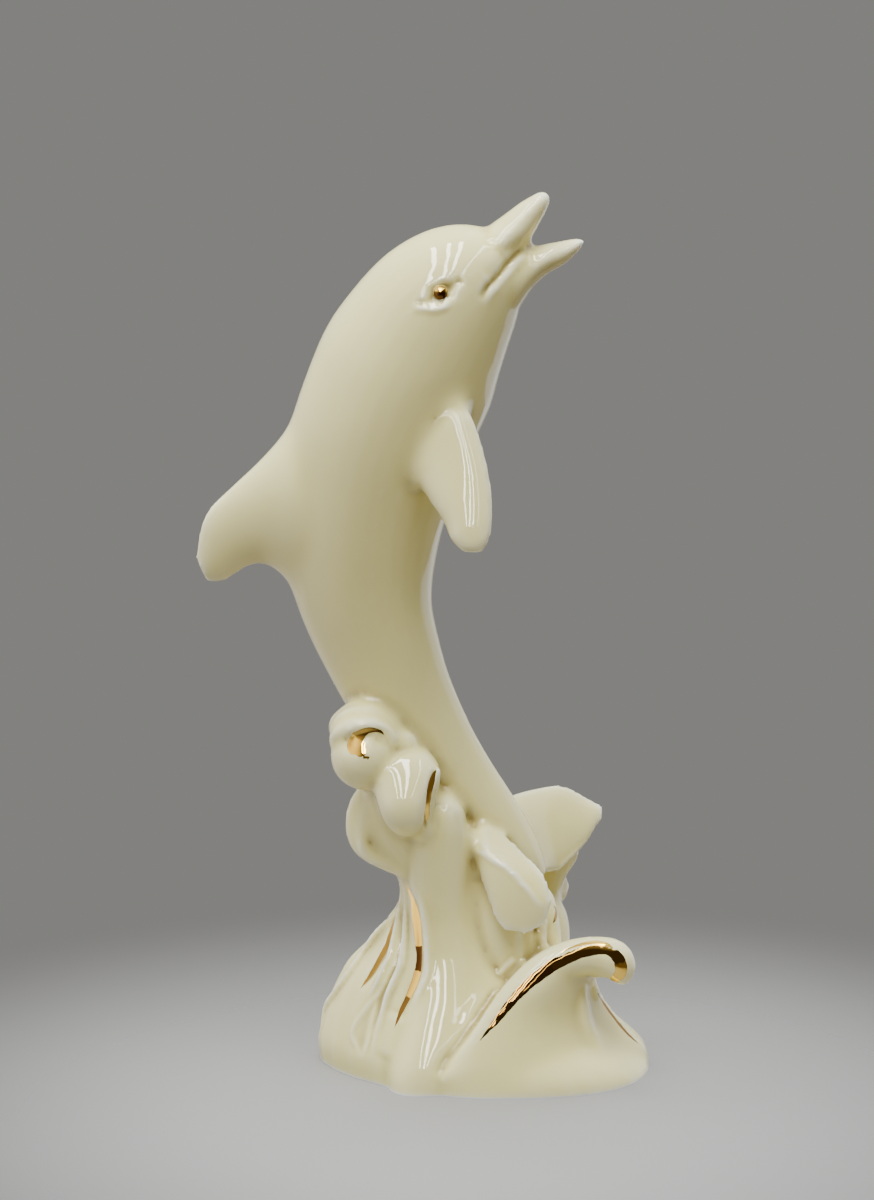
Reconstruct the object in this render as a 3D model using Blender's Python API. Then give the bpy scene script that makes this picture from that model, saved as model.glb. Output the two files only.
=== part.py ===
"""A leaping dolphin figurine of glazed porcelain, cast in one piece with the waves it rises from.

The forms are measured in millimetres on a figurine 128.3 mm tall, and FIGURE_HEIGHT scales them all.
X runs along the dolphin's belly side, Y away from its right flank, and Z up. The origin is the middle
of the flat foot. Each form is a closed skin of its own, and a voxel remesh makes one body of them all.
"""

import math

import bmesh
import bpy
import numpy as np
from mathutils import Vector
from mathutils.bvhtree import BVHTree

# Driving size: from the flat foot to the tip of the upper jaw.
FIGURE_HEIGHT = 0.1283
MODELLED_HEIGHT = 128.3
UNIT = FIGURE_HEIGHT / MODELLED_HEIGHT

# How finely the one body is made.
SIDES = 32
VOXEL = 0.6 * UNIT
SMOOTHING_STEPS = 14
FACETS = 9300
SHARP_ANGLE = math.radians(50)

PORCELAIN = (0.80, 0.75, 0.60, 1.0)
GLAZE_ROUGHNESS = 0.12


def clear_scene():
    for obj in list(bpy.data.objects):
        bpy.data.objects.remove(obj)


def spline(points, count):
    """Points evenly spread in parameter along a smooth curve through the given ones."""
    rows = [tuple(p) for p in points]
    rows = [rows[0]] + rows + [rows[-1]]
    spans = len(rows) - 3
    made = []
    for i in range(count):
        at = spans * i / (count - 1)
        k = min(int(at), spans - 1)
        t = at - k
        p0, p1, p2, p3 = rows[k : k + 4]
        made.append(
            tuple(
                0.5
                * (
                    2 * b
                    + (c - a) * t
                    + (2 * a - 5 * b + 4 * c - d) * t * t
                    + (3 * b - a - 3 * c + d) * t**3
                )
                for a, b, c, d in zip(p0, p1, p2, p3)
            )
        )
    return made


def ring(centre, arms, fullness=(2, 2, 2, 2)):
    """A closed loop of four quarter arcs, from each arm to the next. A fullness of 2 is an ellipse, less is leaner."""
    loop = []
    quarter = SIDES // 4
    for k in range(4):
        first, second = arms[k], arms[(k + 1) % 4]
        power = 2.0 / fullness[k]
        for i in range(quarter):
            angle = math.pi / 2 * i / quarter
            loop.append(centre + first * math.cos(angle) ** power + second * math.sin(angle) ** power)
    return loop


def skin(bm, rings):
    """Joins the loops one to the next and closes both ends."""
    loops = [[bm.verts.new(p * UNIT) for p in loop] for loop in rings]
    for one, other in zip(loops, loops[1:]):
        for i in range(len(one)):
            j = (i + 1) % len(one)
            bm.faces.new((one[i], one[j], other[j], other[i]))
    for loop in (loops[0], loops[-1]):
        bm.faces.new(loop)


def flank_form(bm, stations, count):
    """A form seen from the side. Each station holds its two edges as x, z, then its half width and middle y."""
    rings = []
    for x1, z1, x2, z2, half, middle in spline(stations, count):
        centre = Vector(((x1 + x2) / 2, middle, (z1 + z2) / 2))
        rise = Vector(((x1 - x2) / 2, 0, (z1 - z2) / 2))
        out = Vector((0, half, 0))
        rings.append(ring(centre, (rise, out, -rise, -out)))
    skin(bm, rings)


def blade(bm, stations, count):
    """A fin. Each station holds a point of its leading edge, one of its trailing edge, and its two faces' bulge."""
    rings = []
    for row in spline(stations, count):
        lead, trail, face = Vector(row[0:3]), Vector(row[3:6]), Vector(row[6:9])
        centre = (lead + trail) / 2
        rings.append(ring(centre, (lead - centre, face, trail - centre, -face)))
    skin(bm, rings)


def tube(bm, path, count):
    """A round form along a path of x, y, z and radius."""
    rows = spline(path, count)
    rings = []
    side = Vector((0, 1, 0))
    for k, row in enumerate(rows):
        before, after = rows[max(k - 1, 0)], rows[min(k + 1, count - 1)]
        along = (Vector(after[:3]) - Vector(before[:3])).normalized()
        side = (side - along * side.dot(along)).normalized()
        up = along.cross(side)
        rings.append(ring(Vector(row[:3]), (side * row[3], up * row[3], -side * row[3], -up * row[3])))
    skin(bm, rings)


def swell(bm, stations, count):
    """A mass of water in level slices: z, middle x and y, reach right, back, left and front, fullness right and left."""
    rings = []
    for z, x, y, right, back, left, front, full, lean in spline(stations, count):
        arms = (Vector((right, 0, 0)), Vector((0, back, 0)), Vector((-left, 0, 0)), Vector((0, -front, 0)))
        rings.append(ring(Vector((x, y, z)), arms, (full, lean, lean, full)))
    skin(bm, rings)


def pebble(bm, x, y, z, rx, ry, rz):
    """A rounded lobe of foam."""
    rows = 12
    rings = []
    for k in range(1, rows):
        angle = math.pi * k / rows
        wide, high = math.sin(angle), -math.cos(angle)
        arms = (
            Vector((rx * wide, 0, 0)),
            Vector((0, ry * wide, 0)),
            Vector((-rx * wide, 0, 0)),
            Vector((0, -ry * wide, 0)),
        )
        rings.append(ring(Vector((x, y, z + rz * high)), arms))
    skin(bm, rings)


def dolphin(bm):
    """The trunk from inside the mouth to the tail's notch, then the two jaws."""
    flank_form(
        bm,
        [
            (3.3, 121.5, 5.0, 117.9, 2.8, 0),
            (0.4, 123.3, 5.2, 114.4, 5.9, 0),
            (-4.4, 123.9, 4.6, 110.8, 7.8, 0),
            (-9.5, 122.6, 3.3, 106.6, 9.4, 0),
            (-14.8, 119.2, 2.0, 102.4, 10.6, 0),
            (-19.8, 113.7, 0.8, 98.0, 11.4, 0),
            (-23.5, 108.2, -1.0, 93.8, 11.9, 0),
            (-26.3, 101.6, -2.9, 89.5, 12.0, 0),
            (-28.3, 95.3, -4.4, 85.2, 11.7, 0),
            (-29.4, 88.4, -5.8, 81.0, 11.1, 0),
            (-29.7, 81.4, -6.9, 76.6, 10.4, 0),
            (-29.1, 74.4, -7.6, 72.2, 9.5, 0),
            (-27.5, 68.3, -7.7, 68.4, 8.7, 0),
            (-25.3, 63.2, -6.9, 64.2, 7.9, 0),
            (-22.6, 57.8, -5.6, 59.2, 7.1, 0),
            (-19.6, 52.4, -3.8, 54.4, 6.4, 0),
            (-15.3, 46.4, -1.5, 49.4, 5.7, 0),
            (-10.4, 40.8, 1.1, 44.8, 5.1, 0),
            (-4.9, 36.0, 3.5, 41.0, 4.7, 0),
            (-0.3, 31.8, 5.9, 37.0, 4.4, 0),
            (3.6, 28.3, 8.2, 32.2, 3.8, 0),
            (6.4, 26.6, 9.2, 28.6, 2.4, 0),
        ],
        96,
    )
    flank_form(
        bm,
        [
            (-2.5, 121.5, 1.6, 115.4, 6.0, 0),
            (0.4, 123.7, 4.3, 119.6, 5.2, 0),
            (2.6, 125.3, 6.0, 121.2, 4.3, 0),
            (4.7, 126.9, 7.0, 122.8, 3.4, 0),
            (6.5, 128.0, 7.9, 124.5, 2.6, 0),
            (7.9, 128.7, 8.8, 126.2, 1.8, 0),
            (8.8, 128.6, 9.2, 127.4, 0.9, 0),
        ],
        30,
    )
    flank_form(
        bm,
        [
            (0.5, 116.4, 3.0, 109.0, 6.0, 0),
            (3.8, 118.8, 5.2, 112.6, 5.2, 0),
            (6.2, 120.4, 6.8, 115.0, 4.3, 0),
            (8.5, 121.1, 8.9, 116.9, 3.5, 0),
            (10.7, 121.5, 11.1, 118.1, 2.7, 0),
            (12.7, 121.9, 12.7, 119.5, 1.9, 0),
            (14.1, 122.0, 13.9, 120.9, 0.9, 0),
        ],
        30,
    )


def fins(bm):
    """The fin on the back, swept down to its tip, and the two flippers."""
    blade(
        bm,
        [
            (-18.0, 0, 98.5, -18.0, 0, 69.0, 0, 9.0, 0),
            (-23.0, 0, 98.0, -24.4, 0, 69.4, 0, 8.6, 0),
            (-27.6, 0, 95.6, -28.6, 0, 72.0, 0, 6.2, 0),
            (-32.2, 0, 90.6, -32.0, 0, 74.6, 0, 3.6, 0),
            (-36.8, 0, 86.2, -35.0, 0, 73.8, 0, 2.3, 0),
            (-40.9, 0, 82.0, -37.8, 0, 72.0, 0, 1.6, 0),
            (-42.3, 0, 75.6, -40.6, 0, 71.2, 0, 1.1, 0),
        ],
        40,
    )
    for side, sweep in ((-1, 0.0), (1, -3.0)):
        blade(
            bm,
            [
                (-6.5 + sweep, 4.0 * side, 103.0, -12.0 + sweep, 4.0 * side, 97.0, 2.0, 4.0 * side, 0.5),
                (-3.8 + sweep, 7.4 * side, 100.2, -12.2 + sweep, 6.6 * side, 93.4, 1.4, 4.0 * side, 0.5),
                (-1.7 + sweep, 10.2 * side, 96.4, -10.9 + sweep, 9.0 * side, 89.6, 0.8, 3.3 * side, 0.4),
                (-0.2 + sweep, 12.6 * side, 91.2, -8.6 + sweep, 11.6 * side, 86.0, 0.6, 2.2 * side, 0.3),
                (0.7 + sweep, 14.0 * side, 86.0, -6.3 + sweep, 13.6 * side, 82.4, 0.4, 1.7 * side, 0.2),
                (0.5 + sweep, 15.0 * side, 81.4, -4.3 + sweep, 15.0 * side, 79.2, 0.3, 1.2 * side, 0.1),
                (-1.0 + sweep, 15.5 * side, 78.2, -2.6 + sweep, 15.6 * side, 77.9, 0.1, 0.6 * side, 0.1),
            ],
            40,
        )


def flukes(bm):
    """The near fluke folds down over a ridge, and the far one stands up behind the water."""
    blade(
        bm,
        [
            (-3.4, 3.0, 38.0, 8.4, 3.0, 29.6, 1.4, 0.2, 2.0),
            (-3.0, -4.5, 37.6, 9.4, -4.0, 28.2, 1.2, -0.3, 1.8),
            (-2.0, -9.0, 36.2, 9.9, -8.4, 27.0, 0.9, -0.8, 1.4),
            (-1.4, -11.8, 33.6, 10.2, -11.2, 25.2, 0.5, -1.4, 0.8),
            (-0.8, -12.8, 29.2, 9.6, -12.4, 23.8, 0.2, -1.4, 0.1),
            (0.6, -13.4, 25.2, 8.0, -13.2, 22.4, 0.1, -1.1, 0.0),
            (2.6, -13.8, 22.0, 5.4, -13.8, 21.4, 0.1, -0.7, 0.0),
        ],
        44,
    )
    blade(
        bm,
        [
            (-0.6, -2.0, 38.2, 7.5, -2.0, 28.0, 0.8, -1.2, 1.6),
            (3.6, 3.5, 39.0, 9.4, 3.5, 27.2, 0.8, -1.4, 1.0),
            (7.6, 7.5, 39.2, 11.0, 6.5, 26.8, 0.8, -1.3, 0.8),
            (11.8, 10.4, 38.9, 13.4, 9.2, 28.0, 0.6, -1.1, 0.6),
            (15.2, 12.4, 36.9, 16.0, 11.4, 30.2, 0.5, -0.9, 0.4),
            (18.0, 13.4, 35.0, 18.0, 12.8, 32.8, 0.2, -0.5, 0.2),
        ],
        40,
    )


def curved(first, pull, last, count):
    """Points on a curve from first to last, drawn toward pull, without the last."""
    made = []
    for i in range(count):
        t = i / count
        made.append(first * (1 - t) ** 2 + pull * (2 * t * (1 - t)) + last * t * t)
    return made


def breaker(bm, slices, count):
    """A wave in level slices. Each holds z, then the x and y of its crest, face, right edge and back."""
    rings = []
    for z, cx, cy, fx, fy, rx, ry, bx, by in spline(slices, count):
        crest, face, edge, back = (Vector(p + (z,)) for p in ((cx, cy), (fx, fy), (rx, ry), (bx, by)))
        rings.append(curved(crest, face, edge, SIDES // 2) + curved(edge, back, crest, SIDES // 2))
    skin(bm, rings)


# The mound and the column above it, in slices as swell takes them.
COLUMN = (
    (-2.0, 0, 0, 24.2, 20.2, 24.2, 20.2, 2.8, 1.6),
    (0.4, 0, 0, 24.5, 20.5, 24.5, 20.5, 2.8, 1.6),
    (3.0, 0, 0, 22.0, 19.4, 24.7, 20.0, 2.8, 1.65),
    (6.0, -1, 0, 18.6, 17.5, 23.1, 18.4, 2.6, 1.7),
    (10.0, -2, 0, 15.0, 14.6, 20.7, 15.9, 2.4, 1.8),
    (14.0, -4, 0, 13.0, 12.0, 16.3, 13.6, 2.2, 1.9),
    (18.0, -6, 0, 11.5, 9.5, 10.2, 12.0, 2.2, 2.0),
    (22.0, -6.5, 0, 10.5, 8.0, 6.8, 10.8, 2.2, 2.1),
    (25.5, -6.5, -1, 9.0, 7.0, 6.0, 9.2, 2.2, 2.2),
    (29.0, -7.0, -2, 8.4, 6.5, 6.2, 7.8, 2.2, 2.2),
    (33.0, -8.5, -3, 8.4, 6.0, 8.0, 7.0, 2.0, 2.0),
    (37.0, -10, -4, 7.6, 5.5, 8.4, 6.2, 2.0, 2.0),
    (41.0, -12, -5, 6.5, 4.5, 5.8, 5.2, 2.0, 2.0),
    (46.0, -14, -5, 3.5, 3.0, 3.5, 3.0, 2.0, 2.0),
)


def around(z, turn, lift):
    """A point over the mound at a height, turned about it from the front, and lifted from its surface."""
    heights = [row[0] for row in COLUMN]
    k = max(i for i in range(len(heights) - 1) if heights[i] <= z)
    t = (z - heights[k]) / (heights[k + 1] - heights[k])
    low, high = COLUMN[k], COLUMN[k + 1]
    x, y, right, back, left, front, full, lean = (a + (b - a) * t for a, b in zip(low[1:], high[1:]))
    fullness = full if turn > 0 else lean
    angle = math.radians(turn)
    across = math.copysign(abs(math.sin(angle)) ** (2 / fullness), math.sin(angle))
    deep = math.copysign(abs(math.cos(angle)) ** (2 / fullness), math.cos(angle))
    return (
        x + across * ((right if across > 0 else left) + lift),
        y - deep * ((front if deep > 0 else back) + lift),
        z,
    )


def fold(bm, path, lift, width):
    """A fold of water down the mound, along a path of heights and turns."""
    rows = [around(z, turn, lift) for z, turn in spline(path, 24)]
    swelling = [width * (0.35 + 0.65 * math.sin(math.pi * i / 23) ** 0.6) for i in range(24)]
    tube(bm, [row + (r,) for row, r in zip(rows, swelling)], 48)


def water(bm):
    """The mound, the column that climbs behind the tail, its foam, and the breaking wave on the right."""
    swell(bm, COLUMN, 64)
    for path, lift, width in (
        (((25.0, -54), (21.0, -58), (15.0, -62), (8.0, -66), (2.5, -68)), -0.7, 1.4),
        (((25.0, -36), (21.0, -40), (15.0, -44), (9.0, -48), (4.0, -50)), -0.5, 1.2),
        (((24.0, -80), (20.0, -88), (14.0, -94), (7.0, -96), (2.5, -97)), -1.0, 1.6),
        (((24.0, -112), (19.0, -120), (13.0, -125), (7.0, -128), (2.5, -129)), -0.7, 1.6),
        (((27.0, -150), (20.0, -152), (13.0, -153), (7.0, -154), (2.5, -155)), -0.5, 1.7),
        (((26.0, 170), (19.0, 168), (13.0, 166), (7.0, 166), (2.5, 165)), -0.5, 1.6),
        (((22.0, 140), (16.0, 136), (11.0, 134), (6.0, 132), (2.5, 131)), -0.5, 1.6),
    ):
        fold(bm, path, lift, width)
    breaker(
        bm,
        [
            (-2.0, -9.5, -16.8, 11.0, -23.0, 24.2, -3.0, 14.0, 18.0),
            (0.6, -8.0, -18.0, 11.0, -23.0, 24.4, -3.0, 14.0, 18.0),
            (3.0, -5.6, -19.4, 11.6, -23.4, 24.1, -3.2, 12.0, 16.0),
            (6.0, -3.2, -18.9, 11.4, -21.8, 21.2, -3.4, 8.0, 12.0),
            (9.0, -0.9, -18.2, 11.2, -19.6, 18.6, -3.8, 5.0, 9.0),
            (12.0, 1.3, -17.3, 11.2, -18.2, 17.0, -4.6, 4.0, 6.0),
            (15.0, 3.7, -16.2, 11.8, -17.4, 16.4, -6.2, 5.0, 2.0),
            (18.0, 6.7, -14.6, 12.8, -15.8, 16.8, -7.6, 8.0, -2.0),
            (19.6, 9.8, -12.8, 14.4, -13.6, 17.0, -8.2, 12.0, -5.0),
            (20.4, 12.4, -11.6, 15.0, -11.0, 16.6, -8.4, 14.0, -7.0),
        ],
        60,
    )
    tube(
        bm,
        [
            (-6.6, -17.8, 1.4, 0.9),
            (-2.5, -17.4, 6.0, 1.4),
            (1.4, -15.8, 10.8, 1.8),
            (5.2, -13.9, 14.7, 2.2),
            (8.8, -12.4, 17.2, 2.5),
            (12.3, -11.2, 18.3, 2.7),
            (15.6, -10.2, 18.4, 2.9),
            (18.2, -9.8, 17.6, 3.3),
            (18.8, -9.8, 16.3, 3.1),
            (18.2, -9.8, 15.2, 2.2),
        ],
        70,
    )
    tube(bm, [(15.8, -6.4, 12.6, 1.0), (16.2, -5.4, 10.0, 1.0), (17.6, -5.0, 7.4, 1.0), (20.0, -4.8, 5.0, 1.1), (22.4, -4.4, 2.8, 1.0)], 30)
    tube(bm, [(13.2, -11.0, 13.6, 1.6), (13.4, -12.0, 10.4, 2.0), (14.2, -12.8, 7.0, 2.2), (16.4, -12.6, 3.4, 2.0)], 24)
    tube(
        bm,
        [
            (5.0, 7.0, 6.0, 9.0),
            (6.4, 8.0, 13.0, 7.0),
            (8.0, 9.0, 18.5, 5.0),
            (8.3, 10.2, 22.2, 3.2),
            (9.4, 11.4, 26.0, 3.3),
            (11.0, 12.6, 29.0, 3.6),
            (12.4, 13.0, 31.6, 2.4),
        ],
        40,
    )
    pebble(bm, -17.3, -8.0, 47.8, 5.1, 5.2, 5.0)
    tube(
        bm,
        [
            (-21.6, -3.6, 50.2, 1.6),
            (-20.2, -5.0, 51.6, 2.6),
            (-17.6, -6.0, 52.4, 3.4),
            (-14.6, -6.6, 51.0, 3.5),
            (-12.2, -7.2, 47.8, 3.4),
            (-10.6, -7.6, 44.0, 3.0),
        ],
        40,
    )
    pebble(bm, -12.0, -10.6, 42.8, 4.2, 4.4, 6.0)
    tube(bm, [(-13.0, -10.0, 46.6, 2.4), (-10.6, -9.6, 47.0, 2.2), (-8.6, -9.4, 45.6, 1.7), (-8.8, -10.0, 42.0, 1.3)], 24)
    pebble(bm, -6.2, -6.8, 34.0, 4.2, 4.6, 7.8)
    pebble(bm, -1.8, -6.2, 31.5, 2.6, 3.0, 4.2)
    tube(
        bm,
        [
            (-14.6, -3.4, 43.6, 1.6),
            (-17.8, -3.8, 40.0, 1.8),
            (-18.5, -4.4, 36.4, 1.9),
            (-17.5, -5.0, 33.3, 2.0),
            (-14.4, -6.0, 31.4, 1.9),
            (-10.8, -7.0, 30.0, 1.9),
            (-8.0, -7.0, 28.6, 1.9),
        ],
        50,
    )
    tube(bm, [(-3.0, -3.0, 33.0, 4.0), (0.0, -4.4, 27.0, 4.4), (2.6, -5.6, 21.0, 5.0), (4.0, -6.0, 14.0, 5.0)], 30)


# The eye's place on the near side and the size of its bead.
EYE = (-6.6, 115.2)
BEAD = 1.0

# Grooves in the near side as x and z, with how wide and deep each is cut.
GROOVES = (
    (((5.0, 120.3), (3.8, 119.0), (1.9, 116.7), (-0.3, 113.8)), 0.7, 0.8),
    (((-12.6, 22.6), (-13.9, 20.0), (-16.3, 15.8), (-18.3, 12.0)), 1.0, 0.7),
    (((-12.1, 24.0), (-12.1, 21.4), (-13.0, 17.5), (-14.3, 13.7), (-16.0, 9.3), (-17.0, 3.4)), 0.8, 0.6),
    (((-11.4, 28.6), (-10.1, 24.6), (-9.5, 20.9), (-9.8, 16.7), (-11.1, 13.3), (-13.2, 8.7)), 1.1, 0.7),
)


def solid_mesh(name, bm):
    """A mesh of what bm holds, which is emptied."""
    mesh = bpy.data.meshes.new(name)
    bm.to_mesh(mesh)
    bm.free()
    return mesh


def finished(figurine):
    """The object's mesh as its modifiers leave it. The modifiers are taken off."""
    graph = bpy.context.evaluated_depsgraph_get()
    mesh = bpy.data.meshes.new_from_object(figurine.evaluated_get(graph))
    figurine.modifiers.clear()
    return mesh


def distance_to(path, points):
    """How far each point is from a path of straight stretches."""
    nearest = np.full(len(points), np.inf)
    for a, b in zip(path, path[1:]):
        along = b - a
        t = np.clip((points - a) @ along / (along @ along), 0, 1)
        nearest = np.minimum(nearest, np.linalg.norm(points - a - t[:, None] * along, axis=1))
    return nearest


def carve(mesh):
    """Cuts the grooves and sets each eye as a bead in its socket."""
    count = len(mesh.vertices)
    points, normals = np.empty(count * 3), np.empty(count * 3)
    mesh.vertices.foreach_get("co", points)
    mesh.vertices.foreach_get("normal", normals)
    points, normals = points.reshape(-1, 3) / UNIT, normals.reshape(-1, 3)
    tree = BVHTree.FromPolygons([Vector(p) for p in points], [tuple(face.vertices) for face in mesh.polygons])
    moved = np.zeros(count)

    def touched(x, z, side):
        """Where a line along Y first meets the surface, from the near side (-1) or the far side (1)."""
        met = tree.ray_cast(Vector((x, side * 100, z)), Vector((0, -side, 0)))[0]
        return np.array(met)

    for places, width, depth in GROOVES:
        path = np.array([touched(x, z, -1) for x, z in spline(places, 20)])
        moved -= depth * np.exp(-((distance_to(path, points) / width) ** 2))
    mouth = GROOVES[0]
    path = np.array([touched(x, z, 1) for x, z in spline(mouth[0], 20)])
    moved -= mouth[2] * np.exp(-((distance_to(path, points) / mouth[1]) ** 2))
    for side in (-1, 1):
        away = np.linalg.norm(points - touched(*EYE, side), axis=1)
        moved += 0.8 * np.exp(-((away / BEAD) ** 2)) - 0.4 * np.exp(-(((away - 1.7 * BEAD) / (0.55 * BEAD)) ** 2))
    mesh.vertices.foreach_set("co", ((points + normals * moved[:, None]) * UNIT).ravel())
    mesh.update()


def cut_foot(mesh):
    """Cuts the body off level at the foot and closes it there."""
    bm = bmesh.new()
    bm.from_mesh(mesh)
    everything = bm.verts[:] + bm.edges[:] + bm.faces[:]
    cut = bmesh.ops.bisect_plane(bm, geom=everything, plane_co=(0, 0, 0), plane_no=(0, 0, -1), clear_outer=True)
    rim = [item for item in cut["geom_cut"] if isinstance(item, bmesh.types.BMEdge)]
    foot = bmesh.ops.contextual_create(bm, geom=rim)["faces"]
    bmesh.ops.triangulate(bm, faces=foot)
    bmesh.ops.recalc_face_normals(bm, faces=bm.faces)
    bm.to_mesh(mesh)
    bm.free()


def porcelain():
    material = bpy.data.materials.new("glazed_porcelain")
    material.use_nodes = True
    shader = material.node_tree.nodes["Principled BSDF"]
    shader.inputs["Base Color"].default_value = PORCELAIN
    shader.inputs["Roughness"].default_value = GLAZE_ROUGHNESS
    shader.inputs["Metallic"].default_value = 0.0
    material.diffuse_color = PORCELAIN
    return material


def main():
    clear_scene()
    bm = bmesh.new()
    dolphin(bm)
    fins(bm)
    flukes(bm)
    water(bm)
    bmesh.ops.recalc_face_normals(bm, faces=bm.faces)
    figurine = bpy.data.objects.new("dolphin_figurine", solid_mesh("dolphin_figurine", bm))
    bpy.context.scene.collection.objects.link(figurine)

    remesh = figurine.modifiers.new("one_body", "REMESH")
    remesh.mode = "VOXEL"
    remesh.voxel_size = VOXEL
    soften = figurine.modifiers.new("soft_glaze", "SMOOTH")
    soften.iterations = SMOOTHING_STEPS
    figurine.data = finished(figurine)
    carve(figurine.data)

    fewer = figurine.modifiers.new("fewer_facets", "DECIMATE")
    fewer.use_collapse_triangulate = True
    fewer.ratio = FACETS / (2 * len(figurine.data.polygons))
    figurine.data = finished(figurine)
    cut_foot(figurine.data)
    figurine.data.name = "dolphin_figurine"
    figurine.data.materials.append(porcelain())
    figurine.data.shade_smooth()
    figurine.data.set_sharp_from_angle(angle=SHARP_ANGLE)


main()
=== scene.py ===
import math

import bmesh
import bpy
import numpy as np
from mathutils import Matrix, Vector
from mathutils.bvhtree import BVHTree


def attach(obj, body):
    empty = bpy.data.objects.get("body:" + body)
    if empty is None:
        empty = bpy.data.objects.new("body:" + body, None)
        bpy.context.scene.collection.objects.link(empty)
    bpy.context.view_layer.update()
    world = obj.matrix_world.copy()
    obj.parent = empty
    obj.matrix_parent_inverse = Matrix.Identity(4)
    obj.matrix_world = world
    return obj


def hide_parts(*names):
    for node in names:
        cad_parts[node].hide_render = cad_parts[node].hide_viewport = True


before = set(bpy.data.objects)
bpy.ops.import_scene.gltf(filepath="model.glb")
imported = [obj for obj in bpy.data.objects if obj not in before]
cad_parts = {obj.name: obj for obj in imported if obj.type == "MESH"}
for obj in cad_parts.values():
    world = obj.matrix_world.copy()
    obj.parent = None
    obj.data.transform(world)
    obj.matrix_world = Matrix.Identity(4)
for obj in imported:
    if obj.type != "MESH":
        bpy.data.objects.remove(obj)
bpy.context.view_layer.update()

# The viewpoint: a camera 600 mm in front of the figurine and 11 degrees above it, which looks down at its
# middle. The marks of the glaze and the gilding are placed by sight lines from it, so it comes first.
MM = 0.001
PICTURE = (874, 1200)
TILT = math.radians(11)
DISTANCE = 600.0
PIXELS_PER_MM = 6.87
SENSOR = 36
NEAREST = 0.01
AIM = Vector((-7.0, 0.0, 69.2))
EYE_POINT = AIM + Vector((0, -math.cos(TILT), math.sin(TILT))) * DISTANCE
bpy.ops.object.camera_add(location=EYE_POINT * MM, rotation=(math.pi / 2 - TILT, 0, 0))
camera = bpy.context.object
camera.data.sensor_width = SENSOR
camera.data.lens = PIXELS_PER_MM * DISTANCE * SENSOR / PICTURE[1]
camera.data.clip_start = NEAREST
bpy.context.scene.camera = camera

# The trunk: the dolphin's body from inside the mouth to the notch of its tail. It is slip-cast porcelain,
# drawn out here ring by ring. Each station holds its back and belly edges as x and z, then its half width.
SIDES = 32
forms = []


def spline(points, count):
    """Points evenly spread in parameter along a smooth curve through the given ones."""
    rows = [tuple(p) for p in points]
    rows = [rows[0]] + rows + [rows[-1]]
    spans = len(rows) - 3
    made = []
    for i in range(count):
        at = spans * i / (count - 1)
        k = min(int(at), spans - 1)
        t = at - k
        made.append(
            tuple(
                0.5 * (2 * b + (c - a) * t + (2 * a - 5 * b + 4 * c - d) * t * t + (3 * b - a - 3 * c + d) * t**3)
                for a, b, c, d in zip(*rows[k : k + 4])
            )
        )
    return made


def ring(centre, arms, fullness=(2, 2, 2, 2)):
    """A closed loop of four quarter arcs, from each arm to the next. A fullness of 2 is an ellipse."""
    loop = []
    quarter = SIDES // 4
    for k in range(4):
        first, second = arms[k], arms[(k + 1) % 4]
        power = 2.0 / fullness[k]
        for i in range(quarter):
            angle = math.pi / 2 * i / quarter
            loop.append(centre + first * math.cos(angle) ** power + second * math.sin(angle) ** power)
    return loop


def drawn_out(rings):
    """A closed form, begun as a disc and extruded from each ring to the next."""
    bpy.ops.object.select_all(action="DESELECT")
    bpy.ops.mesh.primitive_circle_add(vertices=SIDES, radius=MM, fill_type="NGON")
    form = bpy.context.object
    bpy.ops.object.mode_set(mode="EDIT")
    edited = bmesh.from_edit_mesh(form.data)
    place = edited.verts.layers.int.new("place_on_ring")
    for i, vert in enumerate(edited.verts):
        vert[place] = i
    for k, loop in enumerate(rings):
        if k:
            bpy.ops.mesh.extrude_region()
        edited = bmesh.from_edit_mesh(form.data)
        place = edited.verts.layers.int["place_on_ring"]
        for vert in edited.verts:
            if vert.select:
                vert.co = loop[vert[place]] * MM
        bmesh.update_edit_mesh(form.data)
    bpy.ops.mesh.select_all(action="SELECT")
    bpy.ops.mesh.normals_make_consistent(inside=False)
    bpy.ops.object.mode_set(mode="OBJECT")
    forms.append(form)


def flank_form(stations, count):
    """A form seen from its flank, an ellipse at each station."""
    rings = []
    for x1, z1, x2, z2, half in spline(stations, count):
        centre = Vector(((x1 + x2) / 2, 0, (z1 + z2) / 2))
        rise, out = Vector(((x1 - x2) / 2, 0, (z1 - z2) / 2)), Vector((0, half, 0))
        rings.append(ring(centre, (rise, out, -rise, -out)))
    drawn_out(rings)


flank_form(
    [
        (3.3, 121.5, 5.0, 117.9, 2.8), (0.4, 123.3, 5.2, 114.4, 5.9), (-4.4, 123.9, 4.6, 110.8, 7.8),
        (-9.5, 122.6, 3.3, 106.6, 9.4), (-14.8, 119.2, 2.0, 102.4, 10.6), (-19.8, 113.7, 0.8, 98.0, 11.4),
        (-23.5, 108.2, -1.0, 93.8, 11.9), (-26.3, 101.6, -2.9, 89.5, 12.0), (-28.3, 95.3, -4.4, 85.2, 11.7),
        (-29.4, 88.4, -5.8, 81.0, 11.1), (-29.7, 81.4, -6.9, 76.6, 10.4), (-29.1, 74.4, -7.6, 72.2, 9.5),
        (-27.5, 68.3, -7.7, 68.4, 8.7), (-25.3, 63.2, -6.9, 64.2, 7.9), (-22.6, 57.8, -5.6, 59.2, 7.1),
        (-19.6, 52.4, -3.8, 54.4, 6.4), (-15.3, 46.4, -1.5, 49.4, 5.7), (-10.4, 40.8, 1.1, 44.8, 5.1),
        (-4.9, 36.0, 3.5, 41.0, 4.7), (-0.3, 31.8, 5.9, 37.0, 4.4), (3.6, 28.3, 8.2, 32.2, 3.8),
        (6.4, 26.6, 9.2, 28.6, 2.4),
    ],
    count=96,
)

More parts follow.
